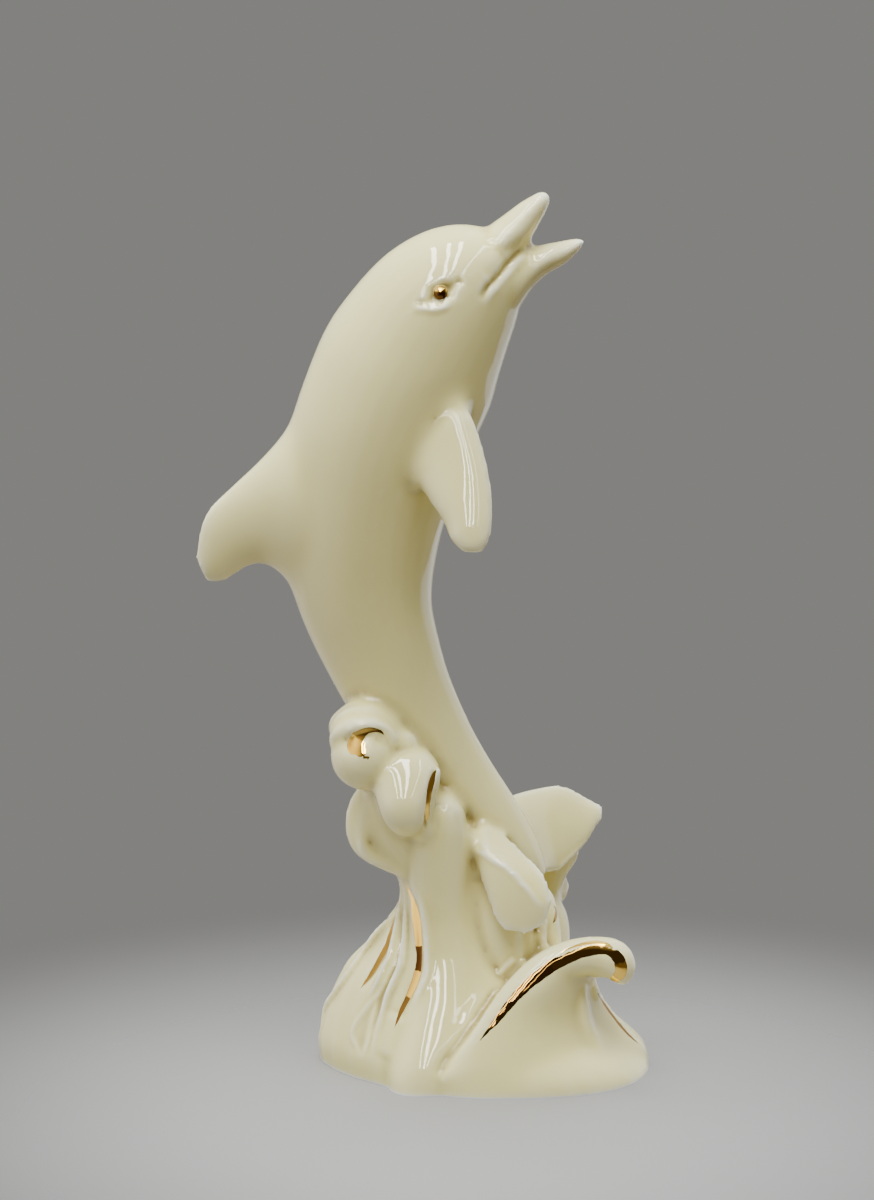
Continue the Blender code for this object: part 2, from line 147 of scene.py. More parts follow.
# The two jaws, open in a call, and the floor of the mouth between them. They are cast with the head and grow
# out of it as tapering beaks with rounded tips.
flank_form(
    [
        (-2.5, 121.5, 1.6, 115.4, 6.0), (0.4, 123.7, 4.3, 119.6, 5.2), (2.6, 125.3, 6.0, 121.2, 4.3),
        (4.7, 126.9, 7.0, 122.8, 3.4), (6.5, 128.0, 7.9, 124.5, 2.6), (7.9, 128.7, 8.8, 126.2, 1.8),
        (8.8, 128.6, 9.2, 127.4, 0.9),
    ],
    count=30,
)
flank_form(
    [
        (0.5, 116.4, 3.0, 109.0, 6.0), (3.8, 118.8, 5.2, 112.6, 5.2), (6.2, 120.4, 6.8, 115.0, 4.3),
        (8.5, 121.1, 8.9, 116.9, 3.5), (10.7, 121.5, 11.1, 118.1, 2.7), (12.7, 121.9, 12.7, 119.5, 1.9),
        (14.1, 122.0, 13.9, 120.9, 0.9),
    ],
    count=30,
)


def rounded_form(x, y, z, rx, ry, rz, fineness=48):
    """A rounded form about a point, given its half sizes in mm."""
    bpy.ops.object.select_all(action="DESELECT")
    bpy.ops.mesh.primitive_uv_sphere_add(
        segments=fineness, ring_count=fineness // 2, radius=MM, location=(x * MM, y * MM, z * MM), scale=(rx, ry, rz)
    )
    forms.append(bpy.context.object)


rounded_form(3.9, 0, 119.0, 2.4, 4.5, 2.0, fineness=32)

# The back fin and the two flippers: thin blades cast with the body, the far flipper a little further back. Each
# station holds a point of the leading edge, one of the trailing edge, and how far the faces bulge between them.


def blade(stations, count, fullness=2):
    """A fin, drawn out from its root to its tip."""
    rings = []
    for row in spline(stations, count):
        lead, trail, face = Vector(row[0:3]), Vector(row[3:6]), Vector(row[6:9])
        centre = (lead + trail) / 2
        rings.append(ring(centre, (lead - centre, face, trail - centre, -face), (fullness,) * 4))
    drawn_out(rings)


blade(
    [
        (-18.0, 0, 98.5, -18.0, 0, 69.0, 0, 9.0, 0), (-23.0, 0, 98.0, -24.4, 0, 69.4, 0, 8.6, 0),
        (-27.6, 0, 95.6, -28.6, 0, 72.0, 0, 7.4, 0), (-32.2, 0, 90.6, -32.0, 0, 74.6, 0, 4.9, 0),
        (-36.8, 0, 86.0, -35.0, 0, 73.8, 0, 2.9, 0), (-40.7, 0, 81.6, -38.0, 0, 72.0, 0, 1.8, 0),
        (-42.0, 0, 75.6, -40.4, 0, 71.8, 0, 1.2, 0),
    ],
    count=40,
)
FAR_SWEEP = -3.0
for side, sweep in ((-1, 0.0), (1, FAR_SWEEP)):
    blade(
        [
            (-6.5 + sweep, 4.0 * side, 103.0, -12.0 + sweep, 4.0 * side, 97.0, 2.0, 4.0 * side, 0.5),
            (-3.8 + sweep, 6.9 * side, 100.2, -12.2 + sweep, 7.2 * side, 93.4, 1.4, 3.9 * side, 0.5),
            (-1.7 + sweep, 9.6 * side, 96.4, -10.9 + sweep, 9.8 * side, 89.6, 0.8, 3.1 * side, 0.4),
            (0.0 + sweep, 12.3 * side, 91.2, -8.6 + sweep, 13.0 * side, 86.0, 0.6, 2.1 * side, 0.3),
            (0.8 + sweep, 14.3 * side, 86.2, -6.3 + sweep, 15.1 * side, 82.8, 0.4, 1.6 * side, 0.2),
            (0.6 + sweep, 15.8 * side, 81.8, -4.3 + sweep, 16.3 * side, 80.0, 0.3, 1.2 * side, 0.1),
            (-0.5 + sweep, 16.6 * side, 79.2, -2.6 + sweep, 16.7 * side, 79.1, 0.1, 0.6 * side, 0.1),
        ],
        count=40,
        fullness=2.7,
    )

# The tail's two flukes: the near one folds down over a ridge in front of the water, and the far one stands up
# behind it. Both are cast with the tail.


def folded(stations, count, crispness):
    """A fluke in four faces. Each station holds its ridge, its lower edge, its back and its upper edge."""
    rings = []
    for row in spline(stations, count):
        corners = [Vector(row[k : k + 3]) for k in (0, 3, 6, 9)]
        centre = sum(corners, Vector()) / 4
        rings.append(ring(centre, [corner - centre for corner in corners], (crispness,) * 4))
    drawn_out(rings)


folded(
    [
        (-1.8, -3.0, 36.4, -2.4, -3.0, 34.4, -1.2, -1.0, 34.4, -0.8, -1.0, 37.0),
        (-1.1, -8.5, 35.6, -1.7, -8.0, 34.0, -1.0, -5.0, 34.0, -0.2, -3.2, 37.6),
        (1.1, -10.8, 33.7, -0.9, -9.8, 30.7, 0.4, -6.8, 31.5, 1.6, -4.2, 36.6),
        (3.1, -12.0, 32.4, 0.2, -11.2, 27.1, 2.2, -8.4, 29.5, 4.0, -5.7, 34.6),
        (5.3, -12.9, 30.0, 2.1, -12.2, 23.1, 4.4, -9.8, 27.2, 6.2, -8.0, 33.0),
        (7.5, -13.3, 27.2, 5.3, -12.8, 22.2, 6.8, -10.8, 25.4, 8.6, -10.6, 31.0),
        (8.8, -13.1, 25.9, 8.4, -12.8, 23.6, 8.8, -11.8, 25.2, 9.8, -12.2, 28.0),
        (9.2, -12.8, 25.7, 9.1, -12.7, 25.0, 9.2, -12.2, 25.5, 9.6, -12.5, 26.6),
    ],
    count=56,
    crispness=1.25,
)
blade(
    [
        (-0.6, -1.0, 38.0, 7.5, -3.0, 28.2, 0.8, -1.2, 1.6), (3.6, 5.0, 38.7, 9.4, 2.0, 27.5, 0.8, -1.4, 1.0),
        (7.6, 9.4, 38.8, 11.0, 4.8, 27.1, 0.8, -1.3, 0.8), (11.8, 12.4, 38.5, 13.4, 7.4, 28.3, 0.6, -1.1, 0.6),
        (15.2, 13.9, 36.6, 16.0, 10.0, 30.5, 0.5, -0.9, 0.4), (18.0, 14.0, 34.9, 18.0, 12.4, 32.9, 0.2, -0.5, 0.2),
    ],
    count=40,
)

# The water: a mound that spreads to the foot and the column that climbs from it behind the tail, cast hollow
# with the dolphin. Each level slice holds its height, its middle's x and y, its reach to the right, back, left
# and front, and how full its front right quarter and the other three are.
COLUMN = (
    (-2.0, 0, 0, 24.2, 20.2, 24.2, 20.2, 2.8, 1.6),
    (0.4, 0, 0, 24.5, 20.5, 24.5, 20.5, 2.8, 1.6),
    (3.0, 0, 0, 22.0, 19.4, 24.7, 20.0, 2.8, 1.65),
    (6.0, -1, 0, 18.6, 17.5, 23.1, 18.4, 2.6, 1.7),
    (10.0, -2, 0, 15.0, 14.6, 20.7, 15.9, 2.4, 1.8),
    (14.0, -4, 0, 13.0, 12.0, 16.3, 13.6, 2.2, 1.9),
    (18.0, -6, 0, 11.5, 9.5, 10.2, 12.0, 2.2, 2.0),
    (22.0, -6.5, 0, 10.5, 8.0, 6.8, 10.8, 2.2, 2.1),
    (25.5, -6.5, -1, 9.0, 7.0, 6.0, 9.2, 2.2, 2.2),
    (29.0, -7.0, -2, 8.4, 6.5, 6.2, 7.8, 2.2, 2.2),
    (33.0, -8.5, -3, 8.4, 6.0, 8.0, 7.0, 2.0, 2.0),
    (37.0, -10, -4, 7.6, 5.5, 8.4, 6.2, 2.0, 2.0),
    (41.0, -12, -5, 6.5, 4.5, 5.8, 5.2, 2.0, 2.0),
    (46.0, -14, -5, 3.5, 3.0, 3.5, 3.0, 2.0, 2.0),
)


def tube(path, count):
    """A round form along a path of x, y, z and radius."""
    rows = spline(path, count)
    rings = []
    side = Vector((0, 1, 0))
    for k, row in enumerate(rows):
        before, after = rows[max(k - 1, 0)], rows[min(k + 1, count - 1)]
        along = (Vector(after[:3]) - Vector(before[:3])).normalized()
        side = (side - along * side.dot(along)).normalized()
        up = along.cross(side)
        rings.append(ring(Vector(row[:3]), (side * row[3], up * row[3], -side * row[3], -up * row[3])))
    drawn_out(rings)


def around(z, turn, lift):
    """A point over the mound at a height, turned about it from the front, and lifted from its surface."""
    heights = [row[0] for row in COLUMN]
    k = max(i for i in range(len(heights) - 1) if heights[i] <= z)
    t = (z - heights[k]) / (heights[k + 1] - heights[k])
    middle_and_reach = (a + (b - a) * t for a, b in zip(COLUMN[k][1:], COLUMN[k + 1][1:]))
    x, y, right, back, left, front, full, lean = middle_and_reach
    fullness = full if turn > 0 else lean
    angle = math.radians(turn)
    across = math.copysign(abs(math.sin(angle)) ** (2 / fullness), math.sin(angle))
    deep = math.copysign(abs(math.cos(angle)) ** (2 / fullness), math.cos(angle))
    aside, ahead = right if across > 0 else left, front if deep > 0 else back
    return x + across * (aside + lift), y - deep * (ahead + lift), z


slices = []
for z, x, y, right, back, left, front, full, lean in spline(COLUMN, 64):
    arms = (Vector((right, 0, 0)), Vector((0, back, 0)), Vector((-left, 0, 0)), Vector((0, -front, 0)))
    slices.append(ring(Vector((x, y, z)), arms, (full, lean, lean, full)))
drawn_out(slices)

# The folds that run down over the mound as round ropes of water, raised in the clay. Each holds its path as
# heights and turns, its lift from the mound and its half width. It sinks in toward the foot and thins at its ends.
ROPE_POINTS = 24
ROPE_SINKS = 1.5
ROPE_END = 0.35
for path, lift, width in (
    (((24.0, -80), (20.0, -88), (14.0, -94), (7.0, -96), (1.0, -97)), -1.0, 1.6),
    (((24.0, -112), (19.0, -120), (13.0, -125), (7.0, -128), (1.0, -129)), -0.7, 1.6),
    (((27.0, -150), (20.0, -152), (13.0, -153), (7.0, -154), (1.0, -155)), -0.5, 1.7),
    (((26.0, 170), (19.0, 168), (13.0, 166), (7.0, 166), (1.0, 165)), -0.5, 1.6),
    (((22.0, 140), (16.0, 136), (11.0, 134), (6.0, 132), (1.0, 131)), -0.5, 1.6),
):
    rope = []
    for i, (z, turn) in enumerate(spline(path, ROPE_POINTS)):
        part = i / (ROPE_POINTS - 1)
        half = width * (ROPE_END + (1 - ROPE_END) * math.sin(math.pi * part) ** 0.6)
        rope.append((*around(z, turn, lift - ROPE_SINKS * part**2), half))
    tube(rope, count=48)

# The water under the tail: the saddle that the trunk rests on, the spout at the back that carries the far fluke,
# three thin threads with a rounded stub behind the near fluke, and the knobs of foam on the spout.
tube([(-3.0, -3.0, 33.0, 4.0), (0.0, -4.4, 27.0, 4.4), (2.6, -5.6, 21.0, 5.0), (4.0, -6.0, 14.0, 5.0)], count=30)
tube(
    [
        (5.0, 7.0, 6.0, 9.0), (6.4, 8.0, 13.0, 7.0), (8.0, 9.0, 18.5, 5.0), (8.3, 10.2, 22.2, 3.2),
        (9.4, 11.4, 26.0, 3.3), (11.0, 12.6, 29.0, 3.6), (12.4, 13.0, 31.6, 2.4),
    ],
    count=40,
)
tube([(4.9, -9.4, 25.0, 0.6), (4.9, -10.2, 21.0, 0.6), (5.1, -10.6, 17.0, 0.6)], count=16)
tube([(6.4, -8.6, 25.0, 0.7), (6.3, -9.2, 21.0, 0.6), (6.5, -9.8, 16.4, 0.7)], count=16)
tube([(8.4, -7.2, 24.0, 0.8), (8.5, -8.4, 20.6, 0.6), (8.9, -9.2, 17.0, 0.8)], count=16)
tube(
    [
        (6.7, -1.6, 27.2, 0.4), (6.8, -1.8, 26.8, 1.8), (6.9, -2.1, 25.6, 3.0), (7.1, -2.8, 23.4, 3.6),
        (7.6, -4.0, 19.0, 3.8), (8.0, -6.0, 12.0, 4.0),
    ],
    count=40,
)
KNOBS = (
    (6.6, 13.0, 19.0, 2.6), (10.6, 13.4, 22.4, 2.4), (7.6, 13.2, 25.4, 2.6), (12.0, 14.2, 27.6, 2.4),
    (9.6, 14.4, 30.2, 2.0),
)
for x, y, z, width in KNOBS:
    root = (x - width * 0.3, y - 1.6, z - width * 0.6, width * 0.8)
    top = (x + width * 0.3, y - 1.0, z + width * 0.5, width * 0.7)
    tube([root, (x, y, z, width), top], count=12)

# The breaking wave on the right: a leaning sheet with a round crest that curls over at its end, then the fold
# down its right edge and the one below its curl. Each level slice holds the x and y of its crest, face, right
# edge and back.


def curved(first, pull, last, count):
    """Points on a curve from first to last, drawn toward pull, without the last."""
    made = []
    for i in range(count):
        t = i / count
        made.append(first * (1 - t) ** 2 + pull * (2 * t * (1 - t)) + last * t * t)
    return made


slices = []
for z, *places in spline(
    [
        (-2.0, -9.5, -16.8, 11.0, -23.0, 24.2, -3.0, 14.0, 18.0),
        (0.6, -8.0, -18.0, 11.0, -23.0, 24.4, -3.0, 14.0, 18.0),
        (3.0, -5.6, -19.4, 11.6, -23.4, 24.1, -3.2, 12.0, 16.0),
        (6.0, -3.2, -18.9, 11.4, -21.8, 21.2, -3.4, 8.0, 12.0),
        (9.0, -0.9, -18.2, 11.2, -19.6, 18.6, -3.8, 5.0, 9.0),
        (12.0, 1.3, -17.3, 11.2, -18.2, 17.0, -4.6, 4.0, 6.0),
        (15.0, 3.7, -16.2, 11.8, -17.4, 16.4, -6.2, 5.0, 2.0),
        (18.0, 6.7, -14.6, 12.8, -15.8, 16.8, -7.6, 8.0, -2.0),
        (19.6, 9.8, -12.8, 14.4, -13.6, 17.0, -8.2, 12.0, -5.0),
        (20.4, 12.4, -11.6, 15.0, -11.0, 16.6, -8.4, 14.0, -7.0),
    ],
    count=60,
):
    crest, face, edge, back = (Vector((places[k], places[k + 1], z)) for k in (0, 2, 4, 6))
    slices.append(curved(crest, face, edge, SIDES // 2) + curved(edge, back, crest, SIDES // 2))
drawn_out(slices)
tube(
    [
        (-6.6, -17.8, 1.4, 0.9), (-2.5, -17.4, 6.0, 1.4), (1.4, -15.8, 10.8, 1.8), (5.2, -13.9, 14.7, 2.2),
        (8.8, -12.4, 17.2, 2.5), (12.3, -11.2, 18.3, 2.7), (15.6, -10.2, 18.4, 2.9), (18.2, -9.8, 17.6, 3.3),
        (18.8, -9.8, 16.3, 3.1), (18.2, -9.8, 15.2, 2.2),
    ],
    count=70,
)
tube(
    [
        (15.8, -6.4, 12.6, 1.0), (16.2, -5.4, 10.0, 1.0), (17.6, -5.0, 7.4, 1.0), (20.0, -4.8, 5.0, 1.1),
        (22.4, -4.4, 2.8, 1.0),
    ],
    count=30,
)
tube([(13.4, -9.0, 13.6, 1.5), (13.6, -9.8, 10.4, 1.7), (14.4, -10.6, 7.0, 1.8), (16.4, -11.0, 3.4, 1.8)], count=24)

# The foam that caps the column: a rounded lobe under a rolled hood, the full front lobe with its rim, the small
# lobes between, the broad front swell that runs down to the foot, and the loop that hangs at their left.


def lobe_of_slices(stations, count, back, fullness):
    """A lobe seen from the front. Each station holds its height, its left and right ends and its front."""
    rings = []
    for z, left, right, front in spline(stations, count):
        middle = Vector(((left + right) / 2, (front + back) / 2, z))
        across, deep = Vector(((right - left) / 2, 0, 0)), Vector((0, (back - front) / 2, 0))
        rings.append(ring(middle, (across, deep, -across, -deep), (2, 2, *fullness)))
    drawn_out(rings)


rounded_form(-17.3, -8.0, 47.8, 5.1, 5.2, 5.0)
tube(
    [
        (-21.6, -3.6, 50.2, 1.6), (-20.2, -5.0, 51.6, 2.6), (-17.6, -6.0, 52.4, 3.4), (-15.2, -6.4, 50.9, 3.4),
        (-13.6, -6.8, 48.0, 3.2), (-12.2, -7.2, 44.6, 3.0),
    ],
    count=40,
)
tube(
    [
        (-22.0, -7.6, 49.6, 0.9), (-21.0, -9.2, 51.2, 1.3), (-19.0, -10.3, 52.4, 1.6), (-16.8, -10.4, 52.5, 1.7),
        (-14.8, -9.8, 51.4, 1.6), (-13.2, -9.2, 49.4, 1.4),
    ],
    count=40,
)
tube(
    [
        (-21.6, -6.0, 50.6, 1.4), (-20.0, -7.6, 52.6, 1.9), (-17.6, -8.2, 53.2, 2.2), (-15.2, -8.0, 51.8, 2.2),
        (-13.4, -8.0, 49.2, 2.2),
    ],
    count=40,
)
lobe_of_slices(
    [
        (49.1, -14.8, -9.8, -9.4), (48.6, -16.2, -8.4, -11.2), (47.6, -16.6, -7.4, -12.4), (46.6, -16.6, -6.7, -13.1),
        (45.4, -16.4, -6.8, -13.7), (44.0, -16.1, -7.3, -14.3), (42.6, -15.9, -7.8, -14.8), (41.2, -15.6, -8.1, -15.0),
        (39.6, -15.1, -8.4, -14.8), (38.2, -14.4, -8.8, -14.0), (37.1, -13.4, -9.6, -12.8), (36.4, -12.6, -10.6, -11.4),
    ],
    count=48,
    back=-4.0,
    fullness=(3.2, 3.6),
)
tube(
    [
        (-6.9, -11.2, 46.6, 0.7), (-7.2, -11.4, 44.6, 0.7), (-7.7, -11.5, 42.4, 0.7), (-8.1, -11.5, 40.4, 0.7),
        (-8.6, -11.4, 38.6, 0.6),
    ],
    count=24,
)
rounded_form(-14.8, -2.6, 36.6, 2.6, 3.0, 4.2)
rounded_form(-9.0, -10.2, 38.2, 2.2, 2.0, 2.8)
rounded_form(-12.2, -7.4, 49.0, 2.6, 2.6, 2.6)
lobe_of_slices(
    [
        (41.9, -7.4, -5.4, -8.2), (41.0, -8.4, -4.0, -10.0), (39.2, -9.6, -2.9, -11.0), (36.0, -10.6, -2.5, -11.3),
        (32.0, -11.0, -2.3, -11.2), (28.0, -11.0, -2.3, -10.9), (24.0, -11.0, -2.0, -10.9), (20.0, -11.0, -1.2, -11.6),
        (17.0, -11.1, -0.4, -12.6), (14.0, -11.4, 0.0, -13.9), (11.0, -12.0, -0.1, -15.4), (8.0, -12.8, -1.0, -16.9),
        (5.0, -13.6, -2.2, -18.2), (3.0, -14.0, -3.2, -18.9), (1.0, -14.2, -3.8, -19.2), (-2.0, -14.2, -4.0, -19.3),
    ],
    count=72,
    back=-2.0,
    fullness=(3.4, 2.8),
)
tube(
    [
        (-14.6, -3.4, 43.6, 1.6), (-17.8, -3.8, 40.0, 1.8), (-18.5, -4.4, 36.4, 1.9), (-17.4, -5.0, 33.6, 1.9),
        (-14.4, -6.0, 31.9, 1.7), (-10.8, -7.0, 30.6, 1.7), (-8.0, -7.0, 29.2, 1.7),
    ],
    count=50,
)
tube(
    [
        (-17.2, -6.0, 40.4, 0.6), (-17.9, -6.9, 38.0, 0.8), (-18.2, -7.1, 35.1, 0.8), (-17.7, -7.3, 33.0, 0.8),
        (-16.4, -7.4, 31.9, 0.8), (-14.4, -7.4, 31.4, 0.6),
    ],
    count=30,
)

# The cast body: the mould joins all the forms in one skin of porcelain, and the glaze rounds the hollows
# between them. Roots, hollows, marks and edges are then rubbed smooth, each for its own number of rounds.
SKIN = 0.56
SOFTENING = 5
TRACED_POINTS = 24
ROOTS_RUBBED, HOLLOWS_RUBBED, MARKS_RUBBED, EDGES_RUBBED = 60, 40, 4, 2

bpy.ops.object.select_all(action="DESELECT")
for form in forms:
    form.select_set(True)
bpy.context.view_layer.objects.active = forms[0]
bpy.ops.object.join()
figurine = bpy.context.object
figurine.name = "porcelain_dolphin"
bpy.ops.object.transform_apply(location=True, rotation=True, scale=True)


def finished_with(kind, **settings):
    """Adds a modifier to the figurine and applies it."""
    bpy.ops.object.modifier_add(type=kind)
    modifier = figurine.modifiers[-1]
    for name, value in settings.items():
        setattr(modifier, name, value)
    bpy.ops.object.modifier_apply(modifier=modifier.name)


def skin_points():
    """The skin's points in mm and their outward directions."""
    count = len(figurine.data.vertices)
    points, normals = np.empty(count * 3), np.empty(count * 3)
    figurine.data.vertices.foreach_get("co", points)
    figurine.data.vertices.foreach_get("normal", normals)
    return points.reshape(-1, 3) / MM, normals.reshape(-1, 3)


def skin_tree():
    """A tree that finds where a line meets the skin."""
    return BVHTree.FromObject(figurine, bpy.context.evaluated_depsgraph_get())


def beside(path, points, reach):
    """The numbers of the points that lie in the path's neighbourhood."""
    return np.nonzero(np.all((points > path.min(0) - reach) & (points < path.max(0) + reach), axis=1))[0]


def distance_to(path, points, reach):
    """How far each point is from a path, or the reach where it is further, and how far along the path it lies."""
    nearest, part = np.full(len(points), float(reach)), np.zeros(len(points))
    close = beside(path, points, reach)
    for k, (a, b) in enumerate(zip(path, path[1:])):
        along = b - a
        t = np.clip((points[close] - a) @ along / (along @ along + 1e-9), 0, 1)
        away = np.linalg.norm(points[close] - a - t[:, None] * along, axis=1)
        closer = away < nearest[close]
        nearest[close[closer]], part[close[closer]] = away[closer], (k + t[closer]) / (len(path) - 1)
    return nearest, part


def sight(across, down, side):
    """The sight line through a point of the picture, from the front (-1) or mirrored at the back (1), in mm."""
    reach = PIXELS_PER_MM * DISTANCE
    u, v = (across - PICTURE[0] / 2) / reach, (PICTURE[1] / 2 - down) / reach
    way = Vector((u, math.cos(TILT) + v * math.sin(TILT), v * math.cos(TILT) - math.sin(TILT)))
    start = EYE_POINT.copy()
    if side > 0:
        start.y, way.y = -start.y, -way.y
    return start, way.normalized()


def met(tree, across, down, side):
    """Where the sight line through a point of the picture first meets the skin, in mm."""
    start, way = sight(across, down, side)
    found = tree.ray_cast(start * MM, way)[0]
    return None if found is None else np.array(found) / MM


def traced(tree, places, side):
    """A stroke's points on the skin."""
    found = [met(tree, *place, side) for place in spline(places, TRACED_POINTS)]
    return np.array([point for point in found if point is not None])


def painted(name, weights):
    """A vertex group that holds the weights."""
    group = figurine.vertex_groups.new(name=name)
    for i in np.nonzero(weights > 0.01)[0]:
        group.add([int(i)], float(weights[i]), "REPLACE")
    return name


def softened(strokes, rounds):
    """Rubs the skin smooth along each stroke, as with a wet sponge. A stroke holds its name, its side, its points
    in the picture and its width in mm."""
    points, tree = skin_points()[0], skin_tree()
    weights = np.zeros(len(points))
    for _, side, places, width, *_ in strokes:
        away = distance_to(traced(tree, places, side), points, 2 * width)[0]
        weights = np.maximum(weights, np.exp(-((away / width) ** 4)))
    finished_with("SMOOTH", iterations=rounds, vertex_group=painted("soft", weights))
    figurine.vertex_groups.clear()


finished_with("REMESH", mode="VOXEL", voxel_size=SKIN * MM)
finished_with("SMOOTH", iterations=SOFTENING)
for side in (-1, 1):
    softened(
        [
            ("back_fin_root", side, ((305, 385), (285, 435), (279, 490), (288, 540), (300, 590)), 8.0),
            ("flipper_root", side, ((470, 395), (430, 405), (412, 440), (420, 480), (440, 515)), 2.6),
        ],
        ROOTS_RUBBED,
    )
softened([("far_fluke", -1, ((525, 815), (560, 812), (588, 815), (575, 838), (552, 850)), 3.0)], HOLLOWS_RUBBED)
softened(
    [
        ("swell_foot", -1, ((402, 1020), (397, 1045), (394, 1065), (398, 1088)), 2.6),
        ("pit", -1, ((360, 815), (366, 835), (371, 855)), 2.2),
        ("fluke_root", -1, ((462, 820), (471, 832), (474, 850), (474, 868)), 1.4),
        ("face_foot", -1, ((470, 1078), (520, 1068), (580, 1055), (640, 1045)), 3.0),
    ],
    HOLLOWS_RUBBED,
)

# The head's marks, pressed and raised in the clay: the line of the mouth with its lower lip, and the eyes,
# each a bead in an almond socket over a raised lower lid. A stroke holds its points in the picture, its width
# and its height in mm, below 0 where it is pressed in. Its ends fade over a quarter of its length.
EYE = (440.6, 292.4)
BEAD = 1.0
BEAD_STANDS = 0.95
ENDS_FADE = 0.25
SEARCHED = 9.0


def refined(strokes, reach, cuts=1):
    """Divides the faces that lie near the strokes."""
    tree = skin_tree()
    centres = np.array([face.center for face in figurine.data.polygons]) / MM
    near = np.zeros(len(centres), bool)
    for _, side, places, width, *_ in strokes:
        near |= distance_to(traced(tree, places, side), centres, SEARCHED)[0] < reach + width
    bpy.ops.object.mode_set(mode="EDIT")
    bpy.ops.mesh.select_mode(type="FACE")
    bpy.ops.mesh.select_all(action="DESELECT")
    bpy.ops.object.mode_set(mode="OBJECT")
    figurine.data.polygons.foreach_set("select", near)
    bpy.ops.object.mode_set(mode="EDIT")
    bpy.ops.mesh.subdivide(number_cuts=cuts, smoothness=1.0, ngon=False, quadcorner="INNERVERT")
    bpy.ops.object.mode_set(mode="OBJECT")


def worked(strokes):
    """Paints each stroke on the skin as weights that fade to its sides and ends, and moves the skin by them."""
    points, tree = skin_points()[0], skin_tree()
    for name, side, places, width, height in strokes:
        away, part = distance_to(traced(tree, places, side), points, 3 * width)
        away /= width
        if name == "bead":
            weights = np.sqrt(np.clip(1 - away**2, 0, 1))
        elif name == "socket":
            weights = np.exp(-(away**3))
        else:
            ends = np.clip(np.minimum(part, 1 - part) / ENDS_FADE, 0, 1)
            weights = np.exp(-(away**2)) * ends**2 * (3 - 2 * ends)
        finished_with("DISPLACE", strength=height * MM, mid_level=0, vertex_group=painted(name, weights))
        figurine.vertex_groups.clear()


softened([("mouth_corner", side, ((525, 250), (518, 262), (510, 275)), 2.4) for side in (-1, 1)], HOLLOWS_RUBBED)
marks = []
for side in (-1, 1):
    marks += [
        ("jaw_side", side, ((510, 258), (501, 269), (490, 282)), 1.5, -0.22),
        ("mouth", side, ((524, 247), (511, 261.5), (499.5, 276.5), (489, 287), (479, 301)), 0.55, -0.55),
        (
            "lower_lip", side,
            ((533, 258), (520, 259), (510.5, 270.5), (500.5, 281), (490.5, 295.5), (483, 309)),
            0.6, 0.16,
        ),
    ]
refined(marks, reach=1.0)
worked(marks)
softened(marks, MARKS_RUBBED)
eyes = [met(skin_tree(), *EYE, side) for side in (-1, 1)]
marks = []
for side in (-1, 1):
    marks += [
        ("socket", side, ((437, 294), (444, 291)), 1.4, -0.5),
        ("inner_corner", side, ((442, 290), (449, 287), (456, 283), (464, 278)), 0.7, -0.28),
        ("outer_corner", side, ((438, 295), (430, 299.5), (422, 303), (414, 306)), 0.6, -0.16),
        ("lower_lid", side, ((412, 305), (420, 308), (429, 309.5), (438, 309.5), (447, 306), (452, 300)), 0.5, 0.17),
    ]
refined(marks, reach=0.8, cuts=2)
worked(marks)
softened(marks, MARKS_RUBBED)
worked([("bead", side, ((440.3, 292.4), (440.9, 292.4)), BEAD, BEAD_STANDS) for side in (-1, 1)])

# The flukes' marks: the crisp fold of the near one and the rolled edge of the far one, both raised a little in
# the clay.
marks = [
    ("fold", -1, ((472, 848), (480, 852), (493, 861), (507, 868.5), (522, 883), (537, 902), (544, 909)), 0.45, 0.2),
    ("far_edge", -1, ((600, 825), (588, 839), (569, 858), (553, 873)), 0.5, 0.2),
]
refined(marks, reach=0.7)
worked(marks)
softened(marks, EDGES_RUBBED)

